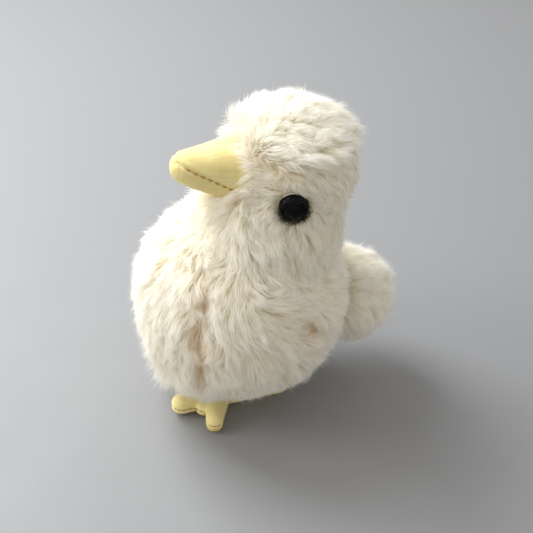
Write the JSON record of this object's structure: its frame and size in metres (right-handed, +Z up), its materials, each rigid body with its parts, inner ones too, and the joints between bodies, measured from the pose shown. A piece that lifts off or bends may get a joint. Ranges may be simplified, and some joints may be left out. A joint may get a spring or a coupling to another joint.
{
  "type": "wind-up hopping chick",
  "caption": "Round plush chick with a stuffed head, cloth beak and padded feet; a wound spring motor inside kicks the feet so that it hops.",
  "frame": {"origin": "on the floor, at the middle of the whole toy's outline in plan, the key included", "axes": "+Z up, the chick faces -Y, +X is its left side; the key is on its right, at -X"},
  "size_m": [0.08, 0.086, 0.1055],
  "materials": {
    "plush": "long, fine cream pile with a soft sheen",
    "stuffing": "loose white fibre filling",
    "yellow_cloth": "matt plain weave, stitched",
    "eye_bead": "polished black",
    "washer_plastic": "moulded",
    "shell_plastic": "moulded, light satin",
    "case_plastic": "moulded, light satin",
    "gear_plastic": "moulded acetal",
    "leg_plastic": "moulded",
    "spring_steel": "blued, oiled",
    "steel": "bright drawn wire",
    "key_plating": "nickel plate, soft gloss"
  },
  "bodies": {
    "root": {"skin_breast": "plush", "skin_flank_left": "plush", "skin_flank_right": "plush", "skin_belly": "plush", "skin_head_gusset": "plush", "skin_head_left": "plush", "skin_head_right": "plush", "skin_tail_upper": "plush", "skin_tail_lower": "plush", "stuffing_head": "stuffing", "stuffing_tail": "stuffing", "beak_upper": "yellow_cloth", "beak_lower": "yellow_cloth", "stuffing_beak": "stuffing", "eye_left": "eye_bead", "eye_right": "eye_bead", "eye_washers": "washer_plastic", "shell_left": "shell_plastic", "shell_right": "shell_plastic", "shell_screws": "steel", "case_left": "case_plastic", "case_right": "case_plastic", "case_screws": "steel", "gear_pins": "steel", "mainspring": "spring_steel", "leg_pivot_pin": "steel"},
    "key": {"winding_key": "key_plating", "winding_arbor": "steel"},
    "great_wheel": {"great_wheel": "gear_plastic", "click_pawl": "steel"},
    "second_wheel": {"second_wheel": "gear_plastic"},
    "third_wheel": {"third_wheel": "gear_plastic"},
    "crank_wheel": {"crank_wheel": "gear_plastic"},
    "legs": {"leg_yoke": "leg_plastic", "leg_spring": "spring_steel", "foot_plate_left": "leg_plastic", "foot_plate_right": "leg_plastic", "foot_top_left": "yellow_cloth", "foot_top_right": "yellow_cloth", "foot_sole_left": "yellow_cloth", "foot_sole_right": "yellow_cloth"}
  },
  "joints": [
    {"name": "key_turn", "type": "hinge", "parent": "root", "child": "key", "pos_m": [0.006, -0.002, 0.047], "axis": [1, 0, 0], "continuous": true},
    {"name": "great_wheel_spin", "type": "hinge", "parent": "root", "child": "great_wheel", "pos_m": [0.006, -0.002, 0.047], "axis": [1, 0, 0], "continuous": true},
    {"name": "second_wheel_spin", "type": "hinge", "parent": "root", "child": "second_wheel", "pos_m": [0.006, -0.01196, 0.04125], "axis": [1, 0, 0], "continuous": true},
    {"name": "third_wheel_spin", "type": "hinge", "parent": "root", "child": "third_wheel", "pos_m": [0.006, -0.00696, 0.03259], "axis": [1, 0, 0], "continuous": true},
    {"name": "crank_wheel_spin", "type": "hinge", "parent": "root", "child": "crank_wheel", "pos_m": [0.006, 0.00141, 0.03407], "axis": [1, 0, 0], "continuous": true},
    {"name": "foot_kick", "type": "hinge", "parent": "root", "child": "legs", "pos_m": [0.006, 0.005, 0.021], "axis": [1, 0, 0], "range_deg": [0, 15], "stiffness_Nm_per_rad": 0.01, "springref_deg": -11.46}
  ],
  "couplings": [
    {"joint": "great_wheel_spin", "follows": "key_turn", "ratio": 1},
    {"joint": "second_wheel_spin", "follows": "key_turn", "ratio": -3.6},
    {"joint": "third_wheel_spin", "follows": "key_turn", "ratio": 10.8},
    {"joint": "crank_wheel_spin", "follows": "key_turn", "ratio": -25.92}
  ]
}
